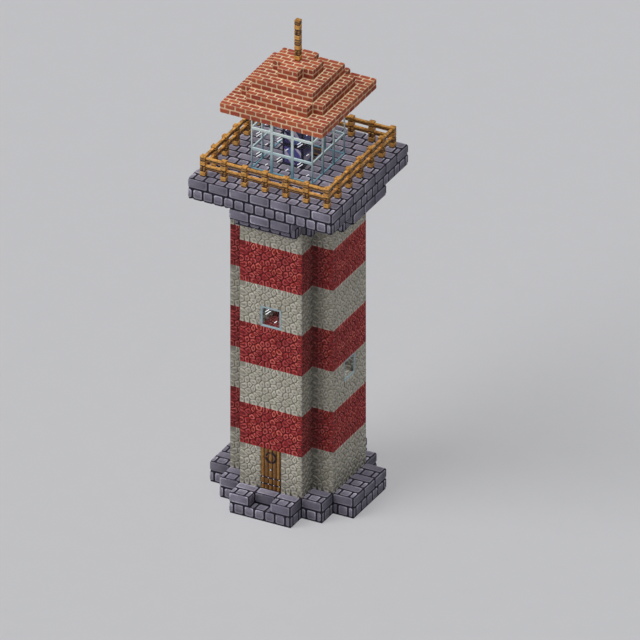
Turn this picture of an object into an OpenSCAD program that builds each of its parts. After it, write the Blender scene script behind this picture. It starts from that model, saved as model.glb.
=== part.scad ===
// Square lighthouse of block masonry: a stepped plinth, a hollow tower in white and red bands,
// a corbelled gallery with a timber railing, a glazed lantern round a dark pier, a stepped
// brick roof with a timber finial, and a plank door that swings inwards.
// Millimetres, Z up, the door faces -Y. The origin is on the ground under the tower's middle.

/* [Masonry] */
// Edge of one masonry block, which every plan size is a multiple of
block = 1000; // [900:50:1100]
// Height of the plinth, which is the level of the door sill
plinth_h = 1000; // [800:100:1200]
// Height of one painted band, which is the height of the doorway
band_h = 2000; // [1800:100:2400]
// Thickness of the ground floor flags
floor_t = 200; // [100:10:300]
// Height of one course of the stepped roof
roof_course_h = 500; // [400:50:600]

/* [Door] */
// Thickness of the plank leaf
leaf_t = 80; // [60:5:90]
// Gap round the leaf at the hinge side, the head and the sill
leaf_gap = 10; // [8:1:14]
// Gap at the closing side, wide enough for the leaf's corner to swing past
closing_gap = 20; // [18:1:30]
// How far the leaf's face stands back from the wall's face
leaf_setback = 20; // [16:1:40]
// Height of one iron band on the leaf
iron_band_h = 70; // [50:5:90]
// Thickness of the iron bands and hinge straps
iron_t = 15; // [8:1:16]
// Outer radius of the iron ring
ring_r = 285; // [200:5:320]
// Width of the iron ring's bar
ring_w = 65; // [40:5:80]
// Radius of a hinge pin
pin_r = 10; // [8:0.5:12]

/* [Gallery railing] */
// Side of a railing post
post_w = 250; // [200:10:300]
// Height of the posts
post_h = 1000; // [900:50:1200]
// Height of one rail
rail_h = 187.5; // [150:12.5:200]
// Thickness of a rail
rail_t = 125; // [100:5:150]

/* [Lantern and windows] */
// Clear height of the lantern
lantern_h = 3000; // [2700:100:3300]
// Width of a pane's own share of a glazing bar
bar_w = 62.5; // [50:2.5:75]
// Thickness of the glass
glass_t = 20; // [10:1:25]

/* [Ladder and finial] */
// Distance between the two ladder rails, middle to middle
ladder_w = 680; // [500:20:760]
// Width of a ladder rail
ladder_rail_w = 70; // [50:5:80]
// Depth of the ladder off the wall
ladder_d = 60; // [50:5:80]
// Height of a rung
rung_h = 45; // [30:5:60]
// Rungs in each metre of height
rungs_per_metre = 4; // [3:1:4]
// Side of the finial post
finial_w = 250; // [200:10:300]
// Height of the finial
finial_h = 2000; // [1500:100:2500]

/* [Hidden] */
$fn = 64;
cut = 1;                                  // overshoot of a cutting solid

half = block / 2;
core = 3 * block;                         // width of a tower face between its corner notches
tower = 5 * block;                        // width of the tower over its faces
tower_face = tower / 2;
inner_face = core / 2;                    // inner face of the wall, which is one block thick
deck_w = 7 * block;                       // width of the plinth and the gallery
roof_step_w = 4 * block;                  // width of the second roof course
crown_w = 2 * block;                      // width of the fourth roof course

function band_z(n) = plinth_h + n * band_h;
bands = 7;
gallery_z = band_z(bands);
corbel_z = gallery_z - block;
deck_z = gallery_z + block;
eaves_z = deck_z + lantern_h;
function course_z(n) = eaves_z + n * roof_course_h;
roof_courses = 4;
roof_top_z = course_z(roof_courses);

side_window_z = band_z(3) - block;        // the top block of the second white band
front_window_z = band_z(4);               // the bottom block of the third white band

leaf_y = -tower_face + leaf_setback;      // outer face of the leaf
leaf_in_y = leaf_y + leaf_t;
leaf_x0 = -half + leaf_gap;
leaf_x1 = half - closing_gap;
leaf_z0 = plinth_h + leaf_gap;
leaf_h = band_h - 2 * leaf_gap;
iron_band_z = [0.13 * band_h, 0.29 * band_h];
ring_z = 0.795 * band_h;
ring_t = 25;
knob_z = 0.5 * band_h;
knob_r = 38;
knob_t = 25;
knob_out = 45;                            // how far the knob's face stands off the leaf
stem_r = 18;
stem_into_knob = 10;

eye_r = 18;                               // outer radius of a hinge eye
pin_clearance = 0.05;
hinge_off_jamb = 30;
hinge_off_leaf = 20;
hinge_x = -half + hinge_off_jamb;
hinge_y = leaf_in_y + hinge_off_leaf;
eye_h = 60;
hinge_zs = [0.14 * band_h, 0.5 * band_h, 0.86 * band_h];
strap_l = 0.6 * block;
strap_t = 8;
bracket_h = 24;
bracket_drop = 5;                         // air between a bracket and its eye
bracket_hw = 12;                          // half the width of a bracket's arm
plate_hw = 60;
plate_t = 5;

post_axis = 3 * block;                    // distance of the railing's centre line from the tower's axis
rail_zs = [0.375 * post_h, 0.75 * post_h];
ladder_h = deck_z - plinth_h;
rung_proud = 10;                          // how far a rung's face stands in front of the rails
rung_off_wall = 15;
rung_past_rail = 55;
pane = block - 2 * bar_w;
pane_rows = 3;

STONE = [0.46, 0.44, 0.50];
WHITE = [0.70, 0.68, 0.62];
RED = [0.66, 0.20, 0.20];
BRICK = [0.70, 0.36, 0.26];
TIMBER = [0.66, 0.47, 0.22];
DOOR_TIMBER = [0.62, 0.38, 0.14];
IRON = [0.14, 0.12, 0.15];
BAR = [0.62, 0.78, 0.84];
GLASS = [0.80, 0.92, 0.95, 0.35];
DARK = [0.10, 0.07, 0.15];

// ---- shared shapes ----

// A box with its low corner at [x0, y0, z0] and its high corner at [x1, y1, z1]
module span(x0, x1, y0, y1, z0, z1) {
    translate([x0, y0, z0]) cube([x1 - x0, y1 - y0, z1 - z0]);
}

// A box centred on the tower's axis in plan, standing on z0
module pad(w, d, z0, h) {
    span(-w / 2, w / 2, -d / 2, d / 2, z0, z0 + h);
}

// Two crossed pads: a square with its corners notched out
module cross(long, short, z0, h) {
    pad(long, short, z0, h);
    pad(short, long, z0, h);
}

// The front side's children, turned to another side: 0 front, 1 right, 2 back, 3 left
module on_side(n) {
    rotate([0, 0, 90 * n]) children();
}

// The children at the four corners, mirrored from the front right one
module at_corners() {
    for (mx = [0, 1], my = [0, 1]) mirror([mx, 0, 0]) mirror([0, my, 0]) children();
}

// The tower's wall between two levels: a notched square round a cross-shaped shaft
module wall(z0, h) {
    difference() {
        cross(tower, core, z0, h);
        cross(core, block, z0 - cut, h + 2 * cut);
    }
}

// A hole one block square through the front wall, its sill at z0
module window_hole(z0) {
    span(-half, half, -tower_face - cut, -inner_face + cut, z0, z0 + block);
}

// ---- plinth and floor ----

module floor_outline(z0, h) {
    cross(core, block, z0, h);
    span(-half, half, -tower_face, -inner_face + cut, z0, z0 + h);
}

module foundation() {
    color(STONE) difference() {
        cross(tower, core, 0, plinth_h);
        floor_outline(plinth_h - floor_t, floor_t + cut);
        span(-half, half, -tower_face - cut, -inner_face, plinth_h - floor_t, plinth_h + cut);
    }
}

module ground_floor() {
    color(STONE) floor_outline(plinth_h - floor_t, floor_t);
}

// The middle block of the front, cut to a low outer step and a high inner one
module doorstep() {
    color(STONE) {
        span(-half, half, -deck_w / 2, -tower_face, 0, plinth_h / 2);
        span(-half, half, -tower_face - half, -tower_face, 0, plinth_h);
    }
}

module plinth_strip() {
    span(-core / 2, core / 2, -deck_w / 2, -tower_face, 0, plinth_h);
}

module plinth_front() {
    color(STONE) difference() {
        plinth_strip();
        span(-half, half, -deck_w / 2 - cut, -tower_face + cut, -cut, plinth_h + cut);
    }
}

module plinth_back() { color(STONE) on_side(2) plinth_strip(); }
module plinth_left() { color(STONE) on_side(3) plinth_strip(); }
module plinth_right() { color(STONE) on_side(1) plinth_strip(); }

module plinth_corners() {
    color(STONE) at_corners() span(inner_face, tower_face, -tower_face, -inner_face, 0, plinth_h);
}

// ---- tower bands ----

// One side of the lowest band, which the doorway and the tower's middle line divide
module first_band_half(side) {
    intersection() {
        difference() {
            wall(band_z(0), band_h);
            span(-half, half, -tower_face - cut, -inner_face + cut, plinth_h - cut, band_z(1) + cut);
        }
        span(min(0, side * tower), max(0, side * tower), -tower, tower, 0, band_z(1));
    }
}

module white_band_1_left() { color(WHITE) first_band_half(-1); }
module white_band_1_right() { color(WHITE) first_band_half(1); }
module red_band_1() { color(RED) wall(band_z(1), band_h); }

module white_band_2() {
    color(WHITE) difference() {
        wall(band_z(2), band_h);
        for (n = [1, 3]) on_side(n) window_hole(side_window_z);
    }
}

module red_band_2() { color(RED) wall(band_z(3), band_h); }

module white_band_3() {
    color(WHITE) difference() {
        wall(band_z(4), band_h);
        window_hole(front_window_z);
    }
}

module red_band_3() { color(RED) wall(band_z(5), band_h); }
module white_band_4() { color(WHITE) wall(band_z(6), band_h); }

// ---- corbel and gallery ----

module corbel_strip() {
    span(-core / 2, core / 2, -tower_face - half, -tower_face, corbel_z, gallery_z);
    span(-core / 2, core / 2, -deck_w / 2, -tower_face, corbel_z + half, gallery_z);
}

module corbel_front() { color(STONE) corbel_strip(); }
module corbel_back() { color(STONE) on_side(2) corbel_strip(); }
module corbel_left() { color(STONE) on_side(3) corbel_strip(); }
module corbel_right() { color(STONE) on_side(1) corbel_strip(); }

module corbel_corners() {
    color(STONE) at_corners() {
        span(inner_face, inner_face + half, -tower_face, -inner_face, corbel_z, gallery_z);
        span(inner_face, tower_face, -tower_face, -inner_face, corbel_z + half, gallery_z);
    }
}

// The gallery's slab, with the ladder's hatch over the back arm of the shaft
module gallery_floor() {
    color(STONE) difference() {
        pad(deck_w, deck_w, gallery_z, block);
        span(-half, half, half, inner_face, gallery_z - cut, deck_z + cut);
    }
}

module post(x, y) {
    translate([x, y]) pad(post_w, post_w, deck_z, post_h);
}

// Both rails of one side, reaching as far each way from its middle
module rails(reach) {
    for (z = rail_zs)
        span(-reach, reach, -post_axis - rail_t / 2, -post_axis + rail_t / 2,
             deck_z + z, deck_z + z + rail_h);
}

// A side with its two corner posts
module long_railing() {
    for (n = [-3:3]) post(n * block, -post_axis);
    rails(post_axis);
}

// A side that ends at its neighbours' corner posts
module short_railing() {
    for (n = [-2:2]) post(n * block, -post_axis);
    rails(post_axis - post_w / 2);
}

module railing_front() { color(TIMBER) long_railing(); }
module railing_back() { color(TIMBER) on_side(2) long_railing(); }
module railing_left() { color(TIMBER) on_side(3) short_railing(); }
module railing_right() { color(TIMBER) on_side(1) short_railing(); }

// ---- lantern ----

// Glazing bars of one side, a grid of one-block panes. A side that stands between two others
// has no bars at its ends, so its outer panes are cut past them.
module glazing(reach) {
    past = reach < inner_face ? cut : 0;
    pitch = lantern_h / pane_rows;
    difference() {
        span(-reach, reach, -inner_face, -inner_face + bar_w, deck_z, eaves_z);
        for (col = [-1:1], row = [0:pane_rows - 1])
            span(col * block - pane / 2 - (col == -1 ? past : 0),
                 col * block + pane / 2 + (col == 1 ? past : 0),
                 -inner_face - cut, -inner_face + bar_w + cut,
                 deck_z + row * pitch + bar_w, deck_z + (row + 1) * pitch - bar_w);
    }
}

module lantern_frame_front() { color(BAR) glazing(inner_face); }
module lantern_frame_back() { color(BAR) on_side(2) glazing(inner_face); }
module lantern_frame_left() { color(BAR) on_side(3) glazing(inner_face - bar_w); }
module lantern_frame_right() { color(BAR) on_side(1) glazing(inner_face - bar_w); }

// Four sheets that stand just inside the bars and don't touch at the corners
module lantern_glass() {
    sheet = inner_face - bar_w;
    color(GLASS) for (n = [0:3])
        on_side(n) span(-sheet + (n % 2) * (glass_t + cut), sheet - (n % 2) * (glass_t + cut),
                        -sheet, -sheet + glass_t, deck_z, eaves_z);
}

module lamp_pier() { color(DARK) pad(block, block, deck_z, lantern_h); }

// ---- roof ----

module roof_course_1() { color(BRICK) pad(tower, tower, course_z(0), roof_course_h); }
module roof_course_2() { color(BRICK) cross(roof_step_w, core, course_z(1), roof_course_h); }
module roof_course_3() { color(BRICK) pad(core, core, course_z(2), roof_course_h); }
module roof_course_4() { color(BRICK) cross(crown_w, block, course_z(3), roof_course_h); }
module finial() { color(TIMBER) pad(finial_w, finial_w, roof_top_z, finial_h); }

// ---- ladder ----

module ladder() {
    y0 = inner_face - ladder_d;
    pitch = 1000 / rungs_per_metre;
    rung_w = ladder_w + ladder_rail_w + 2 * rung_past_rail;
    color(TIMBER) {
        for (side = [-1, 1])
            span(side * ladder_w / 2 - ladder_rail_w / 2, side * ladder_w / 2 + ladder_rail_w / 2,
                 y0 + rung_proud, inner_face, plinth_h, plinth_h + ladder_h);
        for (z = [pitch / 2 : pitch : ladder_h - rung_h])
            span(-rung_w / 2, rung_w / 2, y0, inner_face - rung_off_wall,
                 plinth_h + z, plinth_h + z + rung_h);
    }
}

// ---- windows ----

module window_frame(z0) {
    difference() {
        span(-half, half, -tower_face, -tower_face + bar_w, z0, z0 + block);
        span(-pane / 2, pane / 2, -tower_face - cut, -tower_face + bar_w + cut,
             z0 + bar_w, z0 + block - bar_w);
    }
}

module window_pane(z0) {
    mid = -tower_face + bar_w / 2;
    span(-pane / 2, pane / 2, mid - glass_t / 2, mid + glass_t / 2, z0 + bar_w, z0 + block - bar_w);
}

module window_frames() {
    color(BAR) {
        window_frame(front_window_z);
        for (n = [1, 3]) on_side(n) window_frame(side_window_z);
    }
}

module window_glass() {
    color(GLASS) {
        window_pane(front_window_z);
        for (n = [1, 3]) on_side(n) window_pane(side_window_z);
    }
}

// ---- door ----

module door_leaf() {
    color(DOOR_TIMBER) span(leaf_x0, leaf_x1, leaf_y, leaf_in_y, leaf_z0, leaf_z0 + leaf_h);
}

module door_bands() {
    color(IRON) for (z = iron_band_z)
        span(leaf_x0, leaf_x1, leaf_y - iron_t, leaf_y,
             plinth_h + z - iron_band_h / 2, plinth_h + z + iron_band_h / 2);
}

// Lays a turned shape on the leaf's outer face, its axis pointing out of the door
module on_leaf(x, z) {
    translate([x, leaf_y, plinth_h + z]) rotate([90, 0, 0]) children();
}

module door_ring_and_knob() {
    color(IRON) {
        on_leaf(0, ring_z) difference() {
            cylinder(r = ring_r, h = ring_t);
            translate([0, 0, -cut]) cylinder(r = ring_r - ring_w, h = ring_t + 2 * cut);
        }
        on_leaf(0, knob_z) {
            cylinder(r = stem_r, h = knob_out - knob_t + stem_into_knob);
            translate([0, 0, knob_out - knob_t]) cylinder(r = knob_r, h = knob_t);
        }
    }
}

// Eyes on straps across the leaf's inner face, turning on the pintles
module door_hinge_eyes() {
    color(IRON) for (z = hinge_zs) translate([hinge_x, hinge_y, plinth_h + z]) difference() {
        union() {
            cylinder(r = eye_r, h = eye_h);
            span(0, strap_l, leaf_in_y - hinge_y, leaf_in_y - hinge_y + strap_t, 0, eye_h);
        }
        translate([0, 0, -cut]) cylinder(r = pin_r + pin_clearance, h = eye_h + 2 * cut);
    }
}

// Pins on brackets that stand off the passage wall, one under each eye
module door_pintles() {
    color(IRON) for (z = hinge_zs) translate([hinge_x, hinge_y, plinth_h + z]) {
        translate([0, 0, -bracket_drop - bracket_h])
            cylinder(r = pin_r, h = bracket_drop + bracket_h + eye_h);
        span(-half - hinge_x, 0, -bracket_hw, bracket_hw, -bracket_drop - bracket_h, -bracket_drop);
        translate([0, 0, -bracket_drop - bracket_h]) cylinder(r = bracket_hw, h = bracket_h);
        span(-half - hinge_x, -half - hinge_x + plate_t, -bracket_hw, plate_hw,
             -bracket_drop - bracket_h - plate_hw, -bracket_drop);
    }
}

foundation();
ground_floor();
doorstep();
plinth_front();
plinth_back();
plinth_left();
plinth_right();
plinth_corners();
white_band_1_left();
white_band_1_right();
red_band_1();
white_band_2();
red_band_2();
white_band_3();
red_band_3();
white_band_4();
corbel_front();
corbel_back();
corbel_left();
corbel_right();
corbel_corners();
gallery_floor();
railing_front();
railing_back();
railing_left();
railing_right();
lantern_frame_front();
lantern_frame_back();
lantern_frame_left();
lantern_frame_right();
lantern_glass();
lamp_pier();
roof_course_1();
roof_course_2();
roof_course_3();
roof_course_4();
finial();
ladder();
window_frames();
window_glass();
door_leaf();
door_bands();
door_ring_and_knob();
door_hinge_eyes();
door_pintles();
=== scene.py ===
"""Square lighthouse of block masonry, with cobbled bands, a stone gallery and a brick roof."""
import itertools
import math
import random

import bpy
import numpy as np
from mathutils import Matrix, Vector
from mathutils.bvhtree import BVHTree


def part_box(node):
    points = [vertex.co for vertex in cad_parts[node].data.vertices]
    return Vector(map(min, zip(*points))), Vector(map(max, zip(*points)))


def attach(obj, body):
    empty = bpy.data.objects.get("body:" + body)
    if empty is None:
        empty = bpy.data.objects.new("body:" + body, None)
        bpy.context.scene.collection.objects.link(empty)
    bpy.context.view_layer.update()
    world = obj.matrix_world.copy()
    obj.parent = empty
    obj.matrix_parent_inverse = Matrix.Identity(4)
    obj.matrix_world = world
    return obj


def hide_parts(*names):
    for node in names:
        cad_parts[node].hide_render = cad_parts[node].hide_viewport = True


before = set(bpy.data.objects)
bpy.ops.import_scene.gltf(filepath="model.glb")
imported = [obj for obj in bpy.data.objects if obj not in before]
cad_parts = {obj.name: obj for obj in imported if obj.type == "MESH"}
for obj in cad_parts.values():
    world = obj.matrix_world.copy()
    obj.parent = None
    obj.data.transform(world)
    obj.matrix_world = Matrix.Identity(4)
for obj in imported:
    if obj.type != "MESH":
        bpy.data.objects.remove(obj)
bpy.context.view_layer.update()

# ---- sizes, worked out from the frame, in metres ----

TOWER_LOW, TOWER_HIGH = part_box("red_band_1")
BLOCK = (TOWER_HIGH.x - TOWER_LOW.x) / 5       # one masonry block, a fifth of the tower's width
CELL = BLOCK / 2                               # half a block, which every masonry edge falls on
TOWER_FACE = TOWER_HIGH.x                      # the wall's outer face, from the tower's axis
SHAFT_FACE = TOWER_FACE - BLOCK                # its inner face
DECK_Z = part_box("gallery_floor")[1].z

BED_DEPTH = 0.03                               # how far mortar lies behind the stones' faces
BRICK_BED_DEPTH = 0.02
BRICK_LENGTH = BLOCK / 2
BRICK_HEIGHT = BLOCK / 4
MORTAR = 0.056                                 # width of the mortar between bricks
DARK_JOINT = 0.074                             # joint at a dressed stone's right and lower sides
FINE_JOINT = 0.006                             # joint at its left and upper sides
COBBLE_JOINT = 0.024
BAND_JOINT = 0.002                             # air between the cut stones of two bands

COBBLE_STEP = (3, 2)                           # one step along a slanting row, in thirteenths
COBBLES_PER_BLOCK = 13
COBBLE_JITTER = 0.085                          # how far a stone strays, in blocks
EDGE_LINES = (0.5, 0.0)                        # where walls end in a block, across it and up it
EDGE_GAP = 0.115                               # nearest that a stone's middle comes to those lines
SMALLEST_COBBLE = 0.006                        # square metres
SHORTEST_SIDE = 0.035                          # shorter sides of a cobble are left out
CORNER_WEAR = 0.20                             # share of a side that a worn corner takes
UNEVENNESS = 0.6                               # how much a cut stone's corners differ
SHADED_RIM = 0.55                              # share of the painted highlight kept on the rim at its right and lower sides
SHORTEST_HELD = 0.09                           # a side on an edge this long keeps its stone there

# A stone's rings from its bed to its middle: depth behind the face, how far the ring draws in
# (a share of a cobble's radius, metres on a cut stone) and the value of the "rim" attribute:
# on stones and bricks 1 takes a painted highlight and 0 the dark joint colour; on the pier a low
# rim is its dark border.
COBBLE_RINGS = ((0.036, 0.00, 0.0), (0.007, 0.05, 0.36), (0.0, 0.34, 1.0), (0.003, 0.58, 0.55),
                (0.008, 0.80, 0.0))
SHAFT_COBBLE_RINGS = ((0.036, 0.00, 0.0), (0.0, 0.16, 1.0), (0.008, 0.72, 0.20))
DRESSED_RINGS = ((0.036, 0.0, 0.0), (0.008, 0.003, 0.1), (0.0, 0.018, 1.0), (0.003, 0.085, 0.42))
BRICK_RINGS = ((0.026, 0.0, 0.0), (0.006, 0.003, 0.3), (0.0, 0.013, 1.0), (0.001, 0.040, 0.5))
PIER_RINGS = ((0.020, 0.0, 0.0), (0.0, 0.014, 0.1), (0.0, 0.085, 0.1), (0.009, 0.110, 1.0))

SHADE_REACH_CELLS = 3                              # how far a corner's painted shade reaches, in cells
INDOOR_SHADE = 0.6                           # painted shade inside the shaft and the openings
LEVEL_SHADE_SHARE = 0.35                           # share of the painted shade that a level edge gives

random.seed(7)

# ---- gathering a piece's mesh ----


class Shell:
    """Points and faces of one piece, with rim, tone and painted shade values for each point."""

    def __init__(self):
        self.points = []
        self.faces = []
        self.rims = []
        self.tones = []
        self.painted_shades = []
        self.finishes = []
        self.rounded = []

    def add(self, points, faces, rim=0.5, tone=0.5, finish=0, smooth=False, shelter=0.0):
        first = len(self.points)
        self.points.extend(points)
        for kept, given in ((self.rims, rim), (self.tones, tone), (self.painted_shades, shelter)):
            kept.extend(given if isinstance(given, list) else [given] * len(points))
        for face in faces:
            self.faces.append([first + index for index in face])
            self.finishes.append(finish)
            self.rounded.append(smooth)

    def mesh(self, name, materials):
        mesh = bpy.data.meshes.new(name)
        mesh.from_pydata(self.points, [], self.faces)
        for label, values in (("rim", self.rims), ("tone", self.tones),
                              ("shelter", self.painted_shades)):
            attribute = mesh.attributes.new(label, "FLOAT", "POINT")
            attribute.data.foreach_set("value", values)
        mesh.polygons.foreach_set("material_index", self.finishes)
        mesh.polygons.foreach_set("use_smooth", self.rounded)
        for material in materials:
            mesh.materials.append(material)
        mesh.update()
        return mesh

    def piece(self, name, materials):
        thing = bpy.data.objects.new(name, self.mesh(name, materials))
        bpy.context.scene.collection.objects.link(thing)
        return thing


def settle(thing, body, slot, *nodes):
    """Fixes a piece to its body and hides the nodes it stands for; the slot argument is not used.
    """
    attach(thing, body)
    if nodes:
        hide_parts(*nodes)
    return thing


ROUND_A_FACE = ((-1, -1), (1, -1), (1, 1), (-1, 1))


def corner_signs():
    return [(x, y, z) for x in (-1, 1) for y in (-1, 1) for z in (-1, 1)]


def chamfered_box(shell, low, high, edge, tone=0.5, rim=0.5):
    """A board or block with all its edges and corners taken off."""
    low, high = Vector(low), Vector(high)
    middle, reach = (low + high) / 2, (high - low) / 2
    edge = min(edge, 0.9 * min(reach))
    signs = corner_signs()
    points = [middle + Vector([sign[a] * (reach[a] - (0 if a == axis else edge))
                               for a in range(3)]) for sign in signs for axis in range(3)]
    index = {(sign, axis): 3 * n + axis for n, sign in enumerate(signs) for axis in range(3)}
    faces = [[index[sign, axis] for axis in range(3)] for sign in signs]
    for axis in range(3):
        one, two = [a for a in range(3) if a != axis]

        def corner(out, way):
            sign = [0, 0, 0]
            sign[axis], sign[one], sign[two] = out, *way
            return tuple(sign)

        for out in (-1, 1):
            faces.append([index[corner(out, way), axis] for way in ROUND_A_FACE])
        for way in ROUND_A_FACE:
            near, far = corner(-1, way), corner(1, way)
            faces.append([index[near, one], index[far, one], index[far, two], index[near, two]])
    turned = []
    for face in faces:
        centre = sum((points[i] for i in face), Vector()) / len(face)
        normal = (points[face[1]] - points[face[0]]).cross(points[face[2]] - points[face[1]])
        turned.append(face if normal.dot(centre - middle) > 0 else face[::-1])
    shell.add([tuple(p) for p in points], turned, rim, tone)


def bar(shell, along, ends, sides, heights, edge, tone=0.5, rim=0.5):
    """A chamfered bar that runs along the x axis (0) or the y axis (1)."""
    spans = [None, None, heights]
    spans[along], spans[1 - along] = ends, sides
    chamfered_box(shell, [span[0] for span in spans], [span[1] for span in spans], edge, tone, rim)


def joined_rings(count, rings):
    """The closed skin of a stack of rings, each of count points."""
    faces = [list(range(count))[::-1]]
    for first in range(0, (rings - 1) * count, count):
        for n in range(count):
            after = (n + 1) % count
            faces.append([first + n, first + after, first + count + after, first + count + n])
    return faces + [[(rings - 1) * count + n for n in range(count)]]


def long_axis(low, high):
    """The level axis along which a node is longer."""
    return 0 if high.x - low.x > high.y - low.y else 1


# ---- masonry cells read from the frame ----

# Each side a face can look to: its outward axis and sign, then the axis and sign that run to
# the right on it and the axis and sign that run up it, as seen from outside.
FACINGS = {
    "front": (1, -1, (0, 1), (2, 1)),
    "right": (0, 1, (1, 1), (2, 1)),
    "back": (1, 1, (0, -1), (2, 1)),
    "left": (0, -1, (1, -1), (2, 1)),
    "top": (2, 1, (0, 1), (1, 1)),
    "under": (2, -1, (0, 1), (1, -1)),
}
# Each side of a cell or a stone on its face: across the right axis (0) or the up axis (1), and
# the way out of it
SIDES = {"left": (0, -1), "right": (0, 1), "low": (1, -1), "high": (1, 1)}
TOUCHING = 1e-4                                # points nearer than this share a line
HAIR = 1e-6                                    # a length too small to matter

COBBLED = {
    "white_band_1_left": "white", "white_band_1_right": "white", "red_band_1": "red",
    "white_band_2": "white", "red_band_2": "red", "white_band_3": "white",
    "red_band_3": "red", "white_band_4": "white",
}
DRESSED = ("ground_floor", "doorstep", "plinth_front", "plinth_back", "plinth_left",
           "plinth_right", "plinth_corners", "corbel_front", "corbel_back", "corbel_left",
           "corbel_right", "corbel_corners", "gallery_floor")
BRICKED = ("roof_course_1", "roof_course_2", "roof_course_3", "roof_course_4")
BACKING = ("foundation", "lamp_pier")
PROBE_SPOT = Vector((0.43, 0.57, 0.9))         # where in a cell its filling is tested
PROBE_WAY = Vector((0.0123, 0.0271, 1.0))      # nearly upright, so that it meets no edge


def is_inside(tree, point):
    """Whether a point is inside a node, by counting the faces above it."""
    direction = PROBE_WAY.normalized()
    crossings = 0
    start = point
    while True:
        hit, _, _, _ = tree.ray_cast(start, direction)
        if hit is None:
            return crossings % 2 == 1
        crossings += 1
        start = hit + direction * TOUCHING


def cells_of(name):
    """The half-block cells that a node fills, tested near the top of each."""
    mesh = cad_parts[name].data
    tree = BVHTree.FromPolygons([v.co[:] for v in mesh.vertices],
                                [p.vertices[:] for p in mesh.polygons])
    low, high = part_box(name)
    ranges = [range(math.floor(low[a] / CELL + TOUCHING), math.ceil(high[a] / CELL - TOUCHING))
              for a in range(3)]
    return {cell for cell in itertools.product(*ranges)
            if is_inside(tree, (Vector(cell) + PROBE_SPOT) * CELL)}


OWNER = {}
for node_name in (*BACKING, *DRESSED, *COBBLED, *BRICKED):
    for node_cell in cells_of(node_name):
        OWNER[node_cell] = node_name


def is_filled(cell):
    return cell[2] < 0 or cell in OWNER


def step(cell, axis, amount):
    moved = list(cell)
    moved[axis] += amount
    return tuple(moved)


class Panel:
    """The exposed cells of some nodes in one plane, on the panel's own right and up axes."""

    def __init__(self, facing, plane):
        self.facing, self.plane = facing, plane
        self.axis, self.sign, *self.ways = FACINGS[facing]
        self.cells = {}

    def place(self, right, up, depth):
        point = [0.0, 0.0, 0.0]
        point[self.axis] = self.plane * CELL - self.sign * depth
        for (axis, sign), distance in zip(self.ways, (right, up)):
            point[axis] = sign * distance
        return tuple(point)

    def edge_kind(self, cell, side):
        """outer where the masonry ends, inner where more stands in front, flush, or same."""
        across, way = SIDES[side]
        if step(cell, across, way) in self.cells:
            return "same"
        axis, sign = self.ways[across]
        beside = step(self.cells[cell], axis, way * sign)
        if is_filled(step(beside, self.axis, self.sign)):
            return "inner"
        return "flush" if is_filled(beside) else "outer"

    def faces_out(self):
        """Whether the panel is on the outside of the tower."""
        return self.sign * self.plane * CELL > SHAFT_FACE - CELL / 2

    def is_indoors(self, cell):
        """Whether a cell's wall looks into the shaft, the doorway or a window's opening."""
        across = max(abs(place + 0.5) * CELL for place in self.cells[cell][:2])
        return self.axis != 2 and self.sign * self.plane <= 0 and across < TOWER_FACE

    def shelter(self, spot):
        """How much painted shade a place gets: 1 in a corner of the masonry, 0 in the open."""
        most = 0.0
        for side, (across, way) in SIDES.items():
            inside = [spot[a] - (way * TOUCHING if a == across else 0) for a in (0, 1)]
            cell = tuple(math.floor(place / CELL) for place in inside)
            for _ in range(SHADE_REACH_CELLS):
                if cell not in self.cells:
                    break
                if self.is_indoors(cell):
                    return INDOOR_SHADE
                if self.edge_kind(cell, side) == "inner":
                    distance = abs(edge_place(cell, side) - spot[across])
                    near = 1 - distance / (SHADE_REACH_CELLS * CELL)
                    most = max(most, near * (LEVEL_SHADE_SHARE if across else 1))
                    break
                cell = step(cell, across, way)
        return most


def edge_place(cell, side):
    """Where a cell's side lies, on the axis that it lies across."""
    across, way = SIDES[side]
    return (cell[across] + (way > 0)) * CELL


def panels_of(*names):
    """Every exposed plane of the named nodes together."""
    panels = {}
    for cell in sorted(c for c, owner in OWNER.items() if owner in names):
        for facing, (axis, sign, *ways) in FACINGS.items():
            if is_filled(step(cell, axis, sign)):
                continue
            plane = cell[axis] + (sign > 0)
            panel = panels.setdefault((facing, plane), Panel(facing, plane))
            panel.cells[tuple(cell[a] if s > 0 else -cell[a] - 1 for a, s in ways)] = cell
    return [panels[key] for key in sorted(panels)]


# ---- mortar beds ----


def bed(shell, name, depth, finish):
    """The node's solid, drawn in by depth wherever its masonry is exposed."""
    cells = [c for c, owner in OWNER.items() if owner == name]
    near = depth * 0.99
    floor_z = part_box(name)[0].z
    lines = []
    for axis in range(3):
        edges = sorted({c[axis] + e for c in cells for e in (0, 1)})
        lines.append([e * CELL + d for e in edges for d in (-depth, 0.0, depth)])
    lines[2] = [max(z, floor_z) for z in lines[2]]
    lines = [sorted(set(values)) for values in lines]

    def solid(point):
        if OWNER.get(tuple(math.floor(v / CELL) for v in point)) != name:
            return False
        return all(is_filled(tuple(math.floor((point[a] + sign[a] * near) / CELL)
                                   for a in range(3))) for sign in corner_signs())

    middles = [[(a + b) / 2 for a, b in zip(v, v[1:])] for v in lines]
    full = np.array([[[solid((x, y, z)) for z in middles[2]] for y in middles[1]]
                     for x in middles[0]])
    lines, full = without_idle_lines(lines, full)
    points, faces = box_skin(lines, full)
    shell.add(points, faces, 0.0, 0.5, finish)


def without_idle_lines(lines, full):
    """Drops the lines that part two like slabs, so that the bed has few faces."""
    for axis in range(3):
        slabs = np.moveaxis(full, axis, 0)
        kept = [0] + [n for n in range(1, len(slabs)) if (slabs[n] != slabs[n - 1]).any()]
        lines[axis] = [lines[axis][n] for n in (*kept, -1)]
        full = full.take(kept, axis)
    return lines, full


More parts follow.
